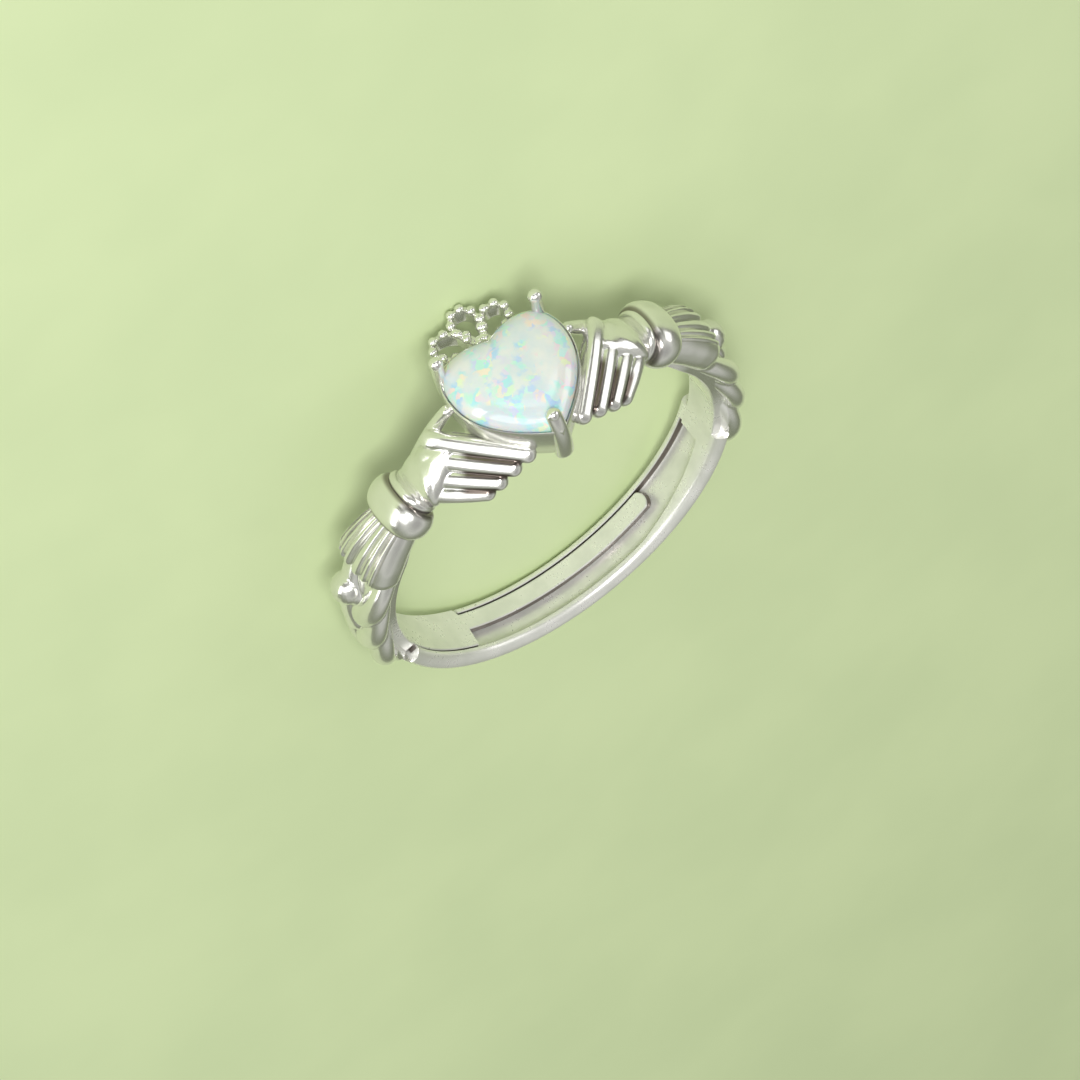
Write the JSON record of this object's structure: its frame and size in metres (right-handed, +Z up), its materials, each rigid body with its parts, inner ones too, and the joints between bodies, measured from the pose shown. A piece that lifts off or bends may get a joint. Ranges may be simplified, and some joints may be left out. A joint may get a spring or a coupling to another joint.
{
  "type": "claddagh ring",
  "caption": "Adjustable finger ring: two hands hold a domed heart stone under a crown of beaded loops; a tongue slides in the grooved back band.",
  "frame": {"origin": "centre of the finger hollow, on its axis, in the middle between the near and far edges of the band's crown line", "axes": "the ring lies on its side as it rests by itself: +Z up, -Y the way the heart stone faces, X from hand to hand; the hollow's axis leans 8.7 degrees from +Z towards +Y, and the crown points down"},
  "size_m": [0.0214, 0.0237, 0.0085],
  "materials": {
    "silver": "polished cast silver",
    "opal": "polished milky opal with small patches of colour"
  },
  "bodies": {
    "root": {"ring_casting": "silver", "heart_stone": "opal"}
  },
  "joints": []
}
